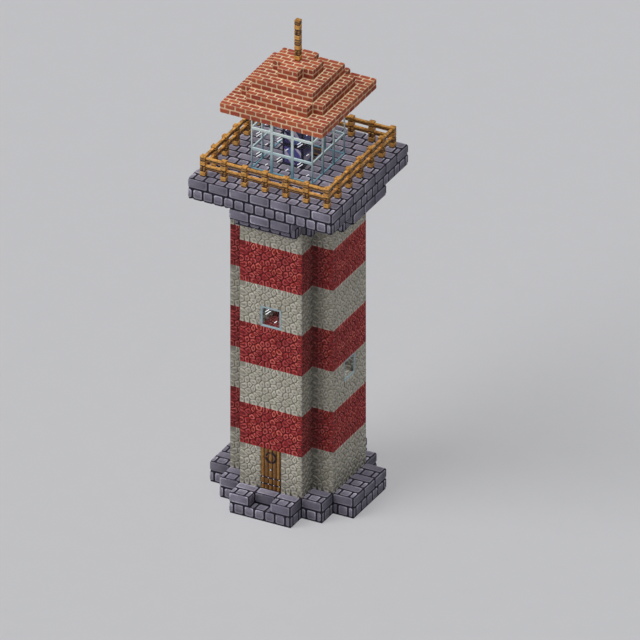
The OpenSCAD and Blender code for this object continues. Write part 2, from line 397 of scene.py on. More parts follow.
def box_skin(lines, full):
    """Outward faces round every full box of a grid."""
    points, faces, index = [], [], {}

    def corner(key):
        if key not in index:
            index[key] = len(points)
            points.append(tuple(lines[a][key[a]] for a in range(3)))
        return index[key]

    boxes = [tuple(key) for key in np.argwhere(full).tolist()]
    filled = set(boxes)
    for key in boxes:
        for axis in range(3):
            one, two = (axis + 1) % 3, (axis + 2) % 3
            for sign in (-1, 1):
                if step(key, axis, sign) in filled:
                    continue
                base = step(key, axis, 1) if sign > 0 else key
                ring = [base, step(base, one, 1), step(step(base, one, 1), two, 1),
                        step(base, two, 1)]
                ring = [corner(place) for place in ring]
                faces.append(ring if sign > 0 else ring[::-1])
    return points, faces


# ---- stones ----


def outline_middle(outline):
    return (sum(p[0] for p in outline) / len(outline), sum(p[1] for p in outline) / len(outline))


def held_sides(point, limits):
    """The sides on which a point lies on an edge that its stone is held to."""
    return [side for side, (place, _, held) in limits.items()
            if held and abs(point[SIDES[side][0]] - place) < TOUCHING]


def set_stone(shell, panel, outline, rings, limits, tone, cut=False):
    """One closed stone. limits says where the masonry ends beside it: side to (place, kind, held).

    A cut stone draws in by the same distance on every side, a cobble towards its middle.
    Towards an outer corner the stone is mitred, and a held cobble stays on the edge.
    """
    middle = outline_middle(outline)
    touching = [held_sides(point, limits) for point in outline]
    points, rims = [], []
    for depth, draw, rim in rings:
        for point, sides in zip(outline, touching):
            if cut:
                spot = [point[a] - math.copysign(draw, point[a] - middle[a]) for a in (0, 1)]
                # a cut stone's painted rim highlight is full at its upper left and weaker at its
                # lower right
                lit = (middle[0] - point[0]) / 2 + (point[1] - middle[1])
                value = rim * (1.0 if lit > 0 or rim < 0.2 else SHADED_RIM)
            else:
                spot = [middle[a] + (point[a] - middle[a]) * (1 - draw) for a in (0, 1)]
                value = rim
            for side, (place, kind, _) in limits.items():
                across, way = SIDES[side]
                edge = place - way * {"outer": depth, "flush": BAND_JOINT}.get(kind, 0.0)
                if side in sides and rim > 0.1 or (edge - spot[across]) * way < 0:
                    spot[across] = edge
            points.append(panel.place(spot[0], spot[1], depth))
            rims.append(value)
    # painted shade for each point, darker near inner corners and indoors
    shade_values = [panel.shelter([point[a] + (middle[a] - point[a]) * 0.02 for a in (0, 1)])
                 for point in outline] * len(rings)
    shell.add(points, joined_rings(len(outline), len(rings)), rims, tone, smooth=not cut,
              shelter=shade_values)


def clip(outline, normal, reach):
    """The part of a convex outline where normal . point stays below reach."""
    kept = []
    for n, point in enumerate(outline):
        before = outline[n - 1]
        here = normal[0] * point[0] + normal[1] * point[1] - reach
        there = normal[0] * before[0] + normal[1] * before[1] - reach
        if (here < 0) != (there < 0):
            share = there / (there - here)
            kept.append((before[0] + (point[0] - before[0]) * share,
                         before[1] + (point[1] - before[1]) * share))
        if here < 0:
            kept.append(point)
    return kept


def area(outline):
    return sum(a[0] * b[1] - b[0] * a[1]
               for a, b in zip(outline, outline[1:] + outline[:1])) / 2


def block_of_seeds():
    """Where the cobbles of one block stand, in shares of a block: slanting rows, a bit astray."""
    seeds = []
    for n in range(COBBLES_PER_BLOCK):
        place = []
        for step, line in zip(COBBLE_STEP, EDGE_LINES):
            share = n * step / COBBLES_PER_BLOCK + random.uniform(-1, 1) * COBBLE_JITTER
            aside = (share - line + 0.5) % 1 - 0.5
            if abs(aside) < EDGE_GAP:
                aside = math.copysign(EDGE_GAP, aside)
            place.append((line + aside) % 1)
        seeds.append((*place, random.random()))
    return seeds


SEEDS = block_of_seeds()
SEED_CLEARANCE = 0.030 * BLOCK                 # nearest that a cobble's middle comes to an edge


def seeds_on(panel):
    """The cobbles' middles on a panel, the same in every block."""
    seeds = []
    blocks = {(math.floor(r / 2), math.floor(u / 2)) for r, u in panel.cells}
    for block in sorted(blocks):
        for right, up, tone in SEEDS:
            spot = ((block[0] + right) * BLOCK, (block[1] + up) * BLOCK)
            cell = (math.floor(spot[0] / CELL), math.floor(spot[1] / CELL))
            if cell in panel.cells and clear_of_edges(panel, spot, cell):
                seeds.append((spot, tone))
    return seeds


def clear_of_edges(panel, spot, cell):
    return all(panel.edge_kind(cell, side) == "same"
               or abs(spot[across] - edge_place(cell, side)) >= SEED_CLEARANCE
               for side, (across, _) in SIDES.items())


def cobble_outline(panel, spot, others):
    """The ground nearer to this cobble than to the others, cut off at the panel's edges."""
    spans = [[cell[a] for cell in panel.cells] for a in (0, 1)]
    left, low = [min(span) * CELL for span in spans]
    right, high = [(max(span) + 1) * CELL for span in spans]
    outline = [(left, low), (right, low), (right, high), (left, high)]
    for other in others:
        away = (other[0] - spot[0], other[1] - spot[1])
        reach = (other[0] ** 2 + other[1] ** 2 - spot[0] ** 2 - spot[1] ** 2) / 2
        outline = clip(outline, away, reach)
    for side, place, low_end, high_end in edges_round(panel, spot):
        across, way = SIDES[side]
        beyond = max(((point[across] - place) * way for point in outline), default=0)
        if beyond > HAIR and crosses(outline, across, place, low_end, high_end):
            outline = clip(outline, (0, way) if across else (way, 0), way * place)
    return outline


def crosses(outline, across, place, low_end, high_end):
    """Whether an outline covers some of an edge that lies across the given axis."""
    cuts = []
    for n, point in enumerate(outline):
        before = outline[n - 1]
        if (point[across] < place) != (before[across] < place):
            share = (place - before[across]) / (point[across] - before[across])
            cuts.append(before[1 - across] + (point[1 - across] - before[1 - across]) * share)
    return (len(cuts) == 2 and min(cuts) < high_end - TOUCHING
            and max(cuts) > low_end + TOUCHING)


def edges_round(panel, spot):
    """The panel's edges within a block of a place and facing it, nearest first."""
    found = []
    for cell in panel.cells:
        for side, (across, way) in SIDES.items():
            if panel.edge_kind(cell, side) == "same":
                continue
            place = edge_place(cell, side)
            away = (place - spot[across]) * way
            low_end = cell[1 - across] * CELL
            if 0 <= away <= BLOCK and abs(low_end - spot[1 - across]) <= BLOCK:
                found.append((away, side, place, low_end, low_end + CELL))
    return [edge[1:] for edge in sorted(found)]


def limits_of(panel, outline):
    """Which of the panel's edges an outline touches, their kinds, and whether it is held there."""
    limits = {}
    for side, (across, way) in SIDES.items():
        place = max(point[across] * way for point in outline) * way
        edge = round(place / CELL)
        if abs(place / CELL - edge) > TOUCHING:
            continue
        ends = [p[1 - across] for p in outline if abs(p[across] - place) < TOUCHING]
        cell = [0, 0]
        cell[across] = edge - (way > 0)
        cell[1 - across] = math.floor((min(ends) + max(ends)) / 2 / CELL)
        cell = tuple(cell)
        if cell in panel.cells and panel.edge_kind(cell, side) != "same":
            held = max(ends) - min(ends) > SHORTEST_HELD
            limits[side] = (edge * CELL, panel.edge_kind(cell, side), held)
    return limits


def drawn_in(outline, limits, joint):
    """The outline less half a joint, except where it touches an edge."""
    middle = outline_middle(outline)
    radius = math.sqrt(area(outline) / math.pi)
    share = 1 - joint / 2 / radius
    result = []
    for point in outline:
        spot = [middle[a] + (point[a] - middle[a]) * share for a in (0, 1)]
        for side in held_sides(point, limits):
            spot[SIDES[side][0]] = limits[side][0]
        result.append(tuple(spot))
    return result


def worn(outline, limits):
    """The outline with its free corners rounded off."""
    result = []
    for n, point in enumerate(outline):
        if held_sides(point, limits):
            result.append(point)
            continue
        for other in (outline[n - 1], outline[(n + 1) % len(outline)]):
            result.append(tuple(point[a] + (other[a] - point[a]) * CORNER_WEAR for a in (0, 1)))
    return result


def without_short_sides(outline, shortest):
    kept = []
    for point in outline:
        if not kept or math.dist(point, kept[-1]) > shortest:
            kept.append(point)
    while len(kept) > 3 and math.dist(kept[0], kept[-1]) <= shortest:
        kept.pop()
    return kept


def lay_cobbles(shell, panel):
    """Irregular cobbles over a panel, finer and plainer inside the shaft."""
    seeds = seeds_on(panel)
    for spot, tone in seeds:
        near = sorted((math.dist(spot, other), other) for other, _ in seeds if other != spot)
        outline = cobble_outline(panel, spot, [place for away, place in near if away < BLOCK])
        if len(outline) < 3 or area(outline) < SMALLEST_COBBLE:
            continue
        outline = without_short_sides(outline, SHORTEST_SIDE)
        if len(outline) < 3:
            continue
        limits = limits_of(panel, outline)
        outline = drawn_in(outline, limits, COBBLE_JOINT)
        rings = SHAFT_COBBLE_RINGS
        if panel.faces_out():
            outline, rings = worn(outline, limits), COBBLE_RINGS
        set_stone(shell, panel, outline, rings, limits, tone)


# ---- coursed stones and bricks ----


def runs(panel, up):
    """Unbroken stretches of cells in one row."""
    cells = sorted(right for right, row in panel.cells if row == up)
    stretches = []
    for right in cells:
        if stretches and right == stretches[-1][1]:
            stretches[-1][1] = right + 1
        else:
            stretches.append([right, right + 1])
    return stretches


def joints_between(start, end, first, pitch):
    """start, the joints at first plus whole pitches that lie between, and end."""
    n = math.ceil((start - first) / pitch + HAIR)
    places = [start]
    while first + n * pitch < end - HAIR:
        places.append(first + n * pitch)
        n += 1
    return places + [end]


def squared_outline(left, right, low, high, corner, unevenness=0.0):
    """A rectangle with its corners cut off, no two quite alike if unevenness is given."""
    a, b, c, d, e, f, g, h = [corner * (1 + random.uniform(-1, 1) * unevenness) for _ in range(8)]
    return [(left + a, low), (right - b, low), (right, low + c), (right, high - d),
            (right - e, high), (left + f, high), (left, high - g), (left, low + h)]


def lay_course(shells, panel, stretch, up, low, high, first, pitch, style):
    """One course of cut stones along a stretch of cells, each in the piece under its middle."""
    start, end = stretch[0] * CELL, stretch[1] * CELL
    places = joints_between(start, end, first, pitch)
    for left, right in zip(places, places[1:]):
        under = range(math.floor(left / CELL + TOUCHING), math.ceil(right / CELL - TOUCHING))
        limits = {}
        for side, place, edge in (("left", left, start), ("right", right, end),
                                  ("low", low, up * CELL), ("high", high, (up + 1) * CELL)):
            beside = {"left": under[:1], "right": under[-1:]}.get(side, under)
            kinds = {panel.edge_kind((cell, up), side) for cell in beside}
            if abs(place - edge) < TOUCHING and "outer" in kinds:
                limits[side] = (place, "outer", False)
        outline = squared_outline(left + style["left"], right - style["right"],
                                  low + style["low"], high - style["high"], style["corner"],
                                  UNEVENNESS)
        middle_cell = math.floor((left + right) / 2 / CELL)
        shell = shells[OWNER[panel.cells[middle_cell, up]]]
        set_stone(shell, panel, outline, style["rings"], limits, random.random(), cut=True)


DRESSED_STYLE = {"left": FINE_JOINT, "right": DARK_JOINT, "low": DARK_JOINT, "high": FINE_JOINT,
                 "corner": 0.042, "rings": DRESSED_RINGS}
BRICK_STYLE = {"left": MORTAR / 2, "right": MORTAR / 2, "low": MORTAR / 2, "high": MORTAR / 2,
               "corner": 0.032, "rings": BRICK_RINGS}


def lay_dressed(shells, panel):
    """Half-block courses: whole-block stones over, or behind, half-block ones."""
    for up in sorted({row for _, row in panel.cells}):
        whole = up % 2 == (0 if panel.facing == "top" else 1)
        first, pitch = (CELL, BLOCK) if whole else (CELL / 2, CELL)
        for stretch in runs(panel, up):
            lay_course(shells, panel, stretch, up, up * CELL, (up + 1) * CELL, first, pitch,
                       DRESSED_STYLE)


def lay_bricks(shells, panel):
    """Two courses of bricks in each half block, each course half a brick on."""
    for up in sorted({row for _, row in panel.cells}):
        for stretch in runs(panel, up):
            for course in (2 * up, 2 * up + 1):
                first = (course % 2) * BRICK_LENGTH / 2
                lay_course(shells, panel, stretch, up, course * BRICK_HEIGHT,
                           (course + 1) * BRICK_HEIGHT, first, BRICK_LENGTH, BRICK_STYLE)


# ---- colour and shader helpers ----


def paint(red, green, blue):
    """A colour given as it looks on a screen, made linear for the shader."""
    def linear(value):
        return value / 12.92 if value <= 0.04045 else ((value + 0.055) / 1.055) ** 2.4
    return (linear(red), linear(green), linear(blue), 1.0)


def add_node(tree, kind, settings=None, **inputs):
    """A shader node with its settings, and its inputs either linked or given a value."""
    node = tree.nodes.new(kind)
    for name, value in (settings or {}).items():
        setattr(node, name, value)
    for name, value in inputs.items():
        socket = node.inputs[int(name[1:])] if name[0] == "i" and name[1:].isdigit() \
            else node.inputs[name.replace("_", " ")]
        if isinstance(value, bpy.types.NodeSocket):
            tree.links.new(value, socket)
        else:
            socket.default_value = value
    return node


def math_node(tree, operation, first, second=0.5, third=0.5):
    node = add_node(tree, "ShaderNodeMath", {"operation": operation, "use_clamp": False},
                    i0=first, i1=second, i2=third)
    return node.outputs[0]


def mix_colour(tree, share, first, second):
    node = add_node(tree, "ShaderNodeMix", {"data_type": "RGBA", "blend_type": "MIX"},
                    i0=share, i6=first, i7=second)
    return node.outputs[2]


def attribute(tree, name):
    return add_node(tree, "ShaderNodeAttribute", {"attribute_name": name}).outputs["Fac"]


def spot(tree):
    """The place on the piece, in metres in the frame."""
    return add_node(tree, "ShaderNodeTexCoord").outputs["Object"]


def ramp(tree, value, *stops):
    node = add_node(tree, "ShaderNodeValToRGB", Fac=value)
    elements = node.color_ramp.elements
    while len(elements) < len(stops):
        elements.new(0.5)
    for element, (place, colour) in zip(elements, stops):
        element.position = place
        element.color = colour
    return node.outputs["Color"]


def swing(tree, value, spread, middle):
    """middle, more or less by spread as the value is over or under a half."""
    return math_node(tree, "MULTIPLY_ADD", math_node(tree, "SUBTRACT", value, 0.5), spread,
                     middle)


def levels(tree, value, low, high):
    """value spread over 0 to 1 between low and high."""
    node = add_node(tree, "ShaderNodeMapRange", {"interpolation_type": "SMOOTHSTEP"},
                    Value=value, From_Min=low, From_Max=high)
    return node.outputs["Result"]


def shader_group(name, inputs, outputs, build):
    """A shader node group with named inputs and outputs."""
    tree = bpy.data.node_groups.new(name, "ShaderNodeTree")
    kinds = {"colour": "NodeSocketColor", "value": "NodeSocketFloat", "vector": "NodeSocketVector"}
    for label, (kind, default) in inputs.items():
        socket = tree.interface.new_socket(label, in_out="INPUT", socket_type=kinds[kind])
        socket.default_value = default
    for label, kind in outputs.items():
        tree.interface.new_socket(label, in_out="OUTPUT", socket_type=kinds[kind])
    given = tree.nodes.new("NodeGroupInput")
    results = build(tree, given.outputs)
    out = tree.nodes.new("NodeGroupOutput")
    for label, socket in results.items():
        tree.links.new(socket, out.inputs[label])
    return tree


def build_weather(tree, given):
    """Broad stains and fine speckle over a colour, with pits for the bump."""
    place = spot(tree)
    broad = add_node(tree, "ShaderNodeTexNoise", Vector=place, Scale=given["Stain scale"],
                     Detail=3.0, Roughness=0.6).outputs["Fac"]
    fine = add_node(tree, "ShaderNodeTexNoise", Vector=place, Scale=given["Speckle scale"],
                    Detail=4.0, Roughness=0.7).outputs["Fac"]
    stain = math_node(tree, "MULTIPLY", levels(tree, broad, 0.42, 0.72), given["Stain"])
    stained = mix_colour(tree, stain, given["Colour"], given["Stain colour"])
    bright = add_node(tree, "ShaderNodeHueSaturation", Color=stained,
                      Value=swing(tree, fine, given["Speckle"], 1.0)).outputs[0]
    return {"Colour": bright, "Height": fine, "Mask": stain}


def build_stone_tone(tree, given):
    """Joint, body, painted rim highlight and middle colours round a stone, varied from stone to
    stone and dimmed by painted shade.
    """
    rim = attribute(tree, "rim")
    tone = attribute(tree, "tone")
    broken = add_node(tree, "ShaderNodeTexNoise", Vector=spot(tree), Scale=given["Break scale"],
                      Detail=1.0).outputs["Fac"]
    strength = math_node(tree, "MULTIPLY", levels(tree, broken, 0.36, 0.56),
                         levels(tree, tone, -0.3, 0.5))
    # painted highlight along the rim, broken up by noise and weaker on dark-toned stones
    edge = math_node(tree, "MULTIPLY", levels(tree, rim, 0.45, 1.0), strength)
    body = mix_colour(tree, levels(tree, rim, 0.0, 0.42), given["Joint"], given["Body"])
    ringed = mix_colour(tree, edge, body, given["Rim"])
    # painted shade: the stone is dimmed by the painted shade attribute
    dim = math_node(tree, "MULTIPLY", attribute(tree, "shelter"), given["Shade"])
    shift = math_node(tree, "MULTIPLY", swing(tree, tone, given["Spread"], 1.0),
                      math_node(tree, "SUBTRACT", 1.0, dim))
    varied = add_node(tree, "ShaderNodeHueSaturation", Color=ringed, Value=shift,
                      Hue=swing(tree, tone, given["Hue spread"], 0.5))
    return {"Colour": varied.outputs[0]}


def build_grain(tree, given):
    """Timber grain: long streaks along the piece, with darker lines between them."""
    stretched = add_node(tree, "ShaderNodeMapping", Vector=spot(tree), Scale=given["Stretch"])
    place = stretched.outputs["Vector"]
    streaks = add_node(tree, "ShaderNodeTexNoise", Vector=place, Scale=9.0, Detail=5.0,
                       Roughness=0.65, Distortion=0.6).outputs["Fac"]
    lines = add_node(tree, "ShaderNodeTexNoise", Vector=place, Scale=26.0, Detail=2.0,
                     Roughness=0.5).outputs["Fac"]
    tone = math_node(tree, "MULTIPLY", math_node(tree, "SUBTRACT", attribute(tree, "tone"), 0.5),
                     given["Spread"])
    streaks = math_node(tree, "MULTIPLY_ADD", tone, -0.25, streaks)
    dark = mix_colour(tree, levels(tree, streaks, 0.38, 0.62), given["Light"], given["Dark"])
    scored = math_node(tree, "MULTIPLY", levels(tree, lines, 0.56, 0.70), given["Lines"])
    lined = mix_colour(tree, scored, dark, given["Line colour"])
    varied = add_node(tree, "ShaderNodeHueSaturation", Color=lined,
                      Value=math_node(tree, "ADD", tone, 1.0)).outputs[0]
    # a low rim marks the cores behind grooves and slots, which take the Groove colour as painted
    # shade
    open_face = levels(tree, attribute(tree, "rim"), 0.1, 0.4)
    grooved = mix_colour(tree, open_face, given["Groove"], varied)
    height = math_node(tree, "SUBTRACT", 1.0, scored)
    return {"Colour": grooved, "Height": height}


WEATHER = shader_group(
    "weather",
    {"Colour": ("colour", (0.5, 0.5, 0.5, 1)), "Stain colour": ("colour", (0.1, 0.1, 0.1, 1)),
     "Stain": ("value", 0.3), "Stain scale": ("value", 0.8), "Speckle": ("value", 0.3),
     "Speckle scale": ("value", 40.0)},
    {"Colour": "colour", "Height": "value", "Mask": "value"}, build_weather)

STONE_TONE = shader_group(
    "stone_tone",
    {"Joint": ("colour", (0.1, 0.1, 0.1, 1)), "Body": ("colour", (0.5, 0.5, 0.5, 1)),
     "Rim": ("colour", (0.8, 0.8, 0.8, 1)), "Spread": ("value", 0.2),
     "Hue spread": ("value", 0.0), "Break scale": ("value", 7.0), "Shade": ("value", 0.5)},
    {"Colour": "colour"}, build_stone_tone)

GRAIN = shader_group(
    "timber_grain",
    {"Light": ("colour", (0.6, 0.4, 0.2, 1)), "Dark": ("colour", (0.3, 0.2, 0.1, 1)),
     "Line colour": ("colour", (0.1, 0.05, 0.02, 1)), "Groove": ("colour", (0.02, 0.01, 0.01, 1)),
     "Stretch": ("vector", (1, 1, 1)), "Lines": ("value", 0.5), "Spread": ("value", 0.2)},
    {"Colour": "colour", "Height": "value"}, build_grain)


def use_group(tree, group, **inputs):
    node = tree.nodes.new("ShaderNodeGroup")
    node.node_tree = group
    for name, value in inputs.items():
        socket = node.inputs[name.replace("_", " ")]
        if isinstance(value, bpy.types.NodeSocket):
            tree.links.new(value, socket)
        else:
            socket.default_value = value
    return node.outputs


def new_material(name, **plain):
    """A material with its Principled shader, whose plain values are set on its own sockets."""
    material = bpy.data.materials.new(name)
    material.use_nodes = True
    tree = material.node_tree
    shader = tree.nodes["Principled BSDF"]
    for label, value in plain.items():
        shader.inputs[label.replace("_", " ")].default_value = value
    return material, tree, shader


def surface(tree, shader, colour, height, rough, bump=None):
    """Feeds a shader its colour, a roughness that follows the height, and a bump."""
    tree.links.new(colour, shader.inputs["Base Color"])
    roughness = add_node(tree, "ShaderNodeMapRange", Value=height, To_Min=rough[0],
                         To_Max=rough[1])
    tree.links.new(roughness.outputs["Result"], shader.inputs["Roughness"])
    if bump:
        bumped = add_node(tree, "ShaderNodeBump", Height=height, Strength=bump[0],
                          Distance=bump[1])
        tree.links.new(bumped.outputs["Normal"], shader.inputs["Normal"])


def stone_material(name, joint, body, rim, spread, stain_colour, stain=0.25, hue=0.0,
                   speckle=0.35, speckle_scale=36.0, shade=0.6):
    material, tree, shader = new_material(name)
    stones = use_group(tree, STONE_TONE, Joint=joint, Body=body, Rim=rim, Spread=spread,
                       Hue_spread=hue, Shade=shade)
    aged = use_group(tree, WEATHER, Colour=stones["Colour"], Stain_colour=stain_colour,
                     Stain=stain, Speckle=speckle, Speckle_scale=speckle_scale)
    surface(tree, shader, aged["Colour"], aged["Height"], (0.72, 0.95), (0.5, 0.01))
    return material


def bed_material(name, colour, stain_colour):
    material, tree, shader = new_material(name)
    aged = use_group(tree, WEATHER, Colour=colour, Stain_colour=stain_colour, Stain=0.4,
                     Speckle=0.5, Speckle_scale=55.0)
    surface(tree, shader, aged["Colour"], aged["Height"], (0.85, 1.0), (0.6, 0.008))
    return material


def timber_material(name, light, dark, line, groove, stretch, spread=0.25, lines=0.6):
    material, tree, shader = new_material(name)
    grain = use_group(tree, GRAIN, Light=light, Dark=dark, Line_colour=line, Groove=groove,
                      Stretch=stretch, Spread=spread, Lines=lines)
    aged = use_group(tree, WEATHER, Colour=grain["Colour"], Stain_colour=dark, Stain=0.35,
                     Stain_scale=2.5, Speckle=0.25, Speckle_scale=60.0)
    surface(tree, shader, aged["Colour"], grain["Height"], (0.75, 0.5), (0.5, 0.006))
    return material


def metal_material(name, colour, worn_colour, metallic, rough, stain=0.5):
    material, tree, shader = new_material(name, Metallic=metallic)
    aged = use_group(tree, WEATHER, Colour=colour, Stain_colour=worn_colour, Stain=stain,
                     Stain_scale=7.0, Speckle=0.3, Speckle_scale=90.0)
    surface(tree, shader, aged["Colour"], aged["Height"], rough, (0.3, 0.003))
    return material


def glazing_bar_material():
    """Pale painted bars, with painted shade that darkens them to teal towards the deck."""
    material, tree, shader = new_material("pale_glazing_bar", Metallic=0.0)
    height = add_node(tree, "ShaderNodeSeparateXYZ", Vector=spot(tree)).outputs["Z"]
    share = levels(tree, height, DECK_Z + 0.1, DECK_Z + 1.6 * BLOCK)
    colour = mix_colour(tree, share, paint(0.46, 0.66, 0.72), paint(0.92, 1.0, 1.0))
    aged = use_group(tree, WEATHER, Colour=colour, Stain_colour=paint(0.50, 0.66, 0.72),
                     Stain=0.3, Stain_scale=4.0, Speckle=0.2, Speckle_scale=60.0)
    surface(tree, shader, aged["Colour"], aged["Height"], (0.3, 0.5), (0.2, 0.002))
    return material


def glass_material():
    """Clear sheet glass with faint smears."""
    material, tree, shader = new_material("clear_glass", Metallic=0.0, IOR=1.45)
    aged = use_group(tree, WEATHER, Colour=paint(0.80, 0.92, 0.96),
                     Stain_colour=paint(0.9, 0.95, 0.95), Stain=0.5, Stain_scale=1.3,
                     Speckle=0.1, Speckle_scale=12.0)
    surface(tree, shader, aged["Colour"], aged["Height"], (0.03, 0.10))
    clear = add_node(tree, "ShaderNodeMapRange", Value=aged["Mask"], To_Min=0.005, To_Max=0.02)
    tree.links.new(clear.outputs["Result"], shader.inputs["Alpha"])
    return material


def glint_material():
    """Painted reflections: white marks that glow faintly, show from outside and are clear from
    behind, as the glass is.
    """
    material, tree, shader = new_material("white_glint", Metallic=0.0, Emission_Strength=0.4)
    aged = use_group(tree, WEATHER, Colour=paint(0.97, 0.99, 1.0),
                     Stain_colour=paint(0.80, 0.88, 0.90), Stain=0.2, Speckle=0.1)
    surface(tree, shader, aged["Colour"], aged["Height"], (0.2, 0.4))
    tree.links.new(aged["Colour"], shader.inputs["Emission Color"])
    behind = add_node(tree, "ShaderNodeNewGeometry").outputs["Backfacing"]
    tree.links.new(math_node(tree, "SUBTRACT", 1.0, behind), shader.inputs["Alpha"])
    return material


def pier_material():
    """Glossy violet stone with pale slanting veins and black borders."""
    material, tree, shader = new_material("veined_violet_stone", Metallic=0.0,
                                          Coat_Roughness=0.12)
    place = add_node(tree, "ShaderNodeMapping", Vector=spot(tree),
                     Rotation=(0.5, 0.65, 0.2)).outputs["Vector"]
    waves = add_node(tree, "ShaderNodeTexWave", {"wave_type": "BANDS", "bands_direction": "X"},
                     Vector=place, Scale=0.62, Distortion=5.5, Detail=2.0,
                     Detail_Scale=0.9).outputs["Fac"]
    vein = levels(tree, waves, 0.70, 0.93)
    clouds = add_node(tree, "ShaderNodeTexNoise", Vector=place, Scale=2.1,
                      Detail=3.0).outputs["Fac"]
    body = ramp(tree, clouds, (0.35, paint(0.18, 0.14, 0.36)), (0.5, paint(0.37, 0.32, 0.64)),
                (0.66, paint(0.40, 0.48, 0.78)))
    veined = mix_colour(tree, vein, body, paint(0.86, 0.82, 0.92))
    share = levels(tree, attribute(tree, "rim"), 0.15, 0.8)
    edged = mix_colour(tree, share, paint(0.10, 0.07, 0.18), veined)
    aged = use_group(tree, WEATHER, Colour=edged, Stain_colour=paint(0.08, 0.05, 0.14),
                     Stain=0.4, Stain_scale=2.0, Speckle=0.3, Speckle_scale=30.0)
    surface(tree, shader, aged["Colour"], aged["Height"], (0.12, 0.34), (0.15, 0.004))
    coat = add_node(tree, "ShaderNodeMapRange", Value=share, To_Min=0.1, To_Max=0.5)
    tree.links.new(coat.outputs["Result"], shader.inputs["Coat Weight"])
    return material


FINISHES = {
    "white_cobble": stone_material(
        "white_cobble", paint(0.58, 0.56, 0.50), paint(0.70, 0.68, 0.63), paint(0.84, 0.82, 0.78),
        0.10, paint(0.58, 0.58, 0.49), hue=0.006),
    "white_bed": bed_material("white_band_mortar", paint(0.55, 0.53, 0.47),
                              paint(0.45, 0.45, 0.38)),
    "red_cobble": stone_material(
        "red_cobble", paint(0.42, 0.05, 0.07), paint(0.60, 0.13, 0.12), paint(0.90, 0.46, 0.43),
        0.16, paint(0.38, 0.06, 0.07), hue=0.006),
    "red_bed": bed_material("red_band_mortar", paint(0.32, 0.04, 0.06), paint(0.22, 0.02, 0.04)),
    "dressed_stone": stone_material(
        "grey_violet_stone", paint(0.13, 0.11, 0.17), paint(0.54, 0.52, 0.58),
        paint(0.84, 0.82, 0.89), 0.30, paint(0.38, 0.36, 0.43), stain=0.5, speckle=0.7,
        speckle_scale=8.0, shade=0.35),
    "dressed_bed": bed_material("dark_joint", paint(0.11, 0.09, 0.15), paint(0.07, 0.06, 0.10)),
    "roof_brick": stone_material(
        "roof_brick", paint(0.66, 0.48, 0.36), paint(0.70, 0.32, 0.21), paint(0.90, 0.55, 0.38),
        0.30, paint(0.50, 0.18, 0.12), stain=0.4, hue=0.012, speckle=0.9, speckle_scale=13.0,
        shade=0.25),
    "brick_bed": bed_material("roof_mortar", paint(0.92, 0.82, 0.68), paint(0.76, 0.64, 0.50)),
    "railing_timber": timber_material(
        "golden_railing_timber", paint(0.84, 0.62, 0.31), paint(0.54, 0.34, 0.11),
        paint(0.32, 0.17, 0.05), paint(0.16, 0.08, 0.02), (0.7, 0.7, 2.0), spread=0.9, lines=0.7),
    "ladder_timber": timber_material(
        "ladder_timber", paint(0.62, 0.46, 0.24), paint(0.45, 0.30, 0.14),
        paint(0.24, 0.14, 0.06), paint(0.12, 0.07, 0.03), (5.0, 5.0, 1.2)),
    "door_timber": timber_material(
        "door_planks", paint(0.64, 0.45, 0.17), paint(0.46, 0.28, 0.10),
        paint(0.26, 0.14, 0.05), paint(0.10, 0.05, 0.02), (2.5, 2.5, 0.5), spread=0.9),
    "iron": metal_material("dark_iron", paint(0.18, 0.14, 0.18), paint(0.09, 0.07, 0.10), 0.6,
                           (0.42, 0.62)),
    "rivet": metal_material("worn_rivet_iron", paint(0.88, 0.86, 0.86), paint(0.60, 0.58, 0.60),
                            0.2, (0.35, 0.55)),
    "window_bar": metal_material("window_frame_paint", paint(0.64, 0.73, 0.76),
                                 paint(0.47, 0.55, 0.58), 0.0, (0.3, 0.5), 0.4),
    "glazing_bar": glazing_bar_material(),
    "glass": glass_material(),
    "glint": glint_material(),
    "dark_stone": pier_material(),
}


def finishes(*names):
    return [FINISHES[name] for name in names]


# ---- copies in a row, by Geometry Nodes ----


def row_of_copies_tree():
    """Copies of a piece's own mesh along a line, made one mesh with one finish."""
    tree = bpy.data.node_groups.new("row_of_copies", "GeometryNodeTree")
    sockets = tree.interface
    sockets.new_socket("Geometry", in_out="INPUT", socket_type="NodeSocketGeometry")
    for label, kind, default in (
            ("Count", "NodeSocketInt", 2), ("Start", "NodeSocketVector", (0, 0, 0)),
            ("Step", "NodeSocketVector", (1, 0, 0)), ("Size change", "NodeSocketFloat", 0.0),
            ("Seed", "NodeSocketInt", 1), ("Finish", "NodeSocketMaterial", None)):
        socket = sockets.new_socket(label, in_out="INPUT", socket_type=kind)
        if default is not None:
            socket.default_value = default
    sockets.new_socket("Geometry", in_out="OUTPUT", socket_type="NodeSocketGeometry")
    given = tree.nodes.new("NodeGroupInput").outputs
    line = add_node(tree, "GeometryNodeMeshLine", {"mode": "OFFSET"}, Count=given["Count"],
                    Start_Location=given["Start"], Offset=given["Step"])
    least = math_node(tree, "SUBTRACT", 1.0, given["Size change"])
    size = add_node(tree, "FunctionNodeRandomValue", {"data_type": "FLOAT"}, i2=least, i3=1.0,
                    Seed=given["Seed"])
    copies = add_node(tree, "GeometryNodeInstanceOnPoints", Points=line.outputs["Mesh"],
                      Instance=given["Geometry"], Scale=size.outputs[1])
    whole = add_node(tree, "GeometryNodeRealizeInstances", Geometry=copies.outputs["Instances"])
    finish = add_node(tree, "GeometryNodeSetMaterial", Geometry=whole.outputs["Geometry"],
                      Material=given["Finish"])
    out = tree.nodes.new("NodeGroupOutput")
    tree.links.new(finish.outputs["Geometry"], out.inputs["Geometry"])
    return tree


COPIES = row_of_copies_tree()


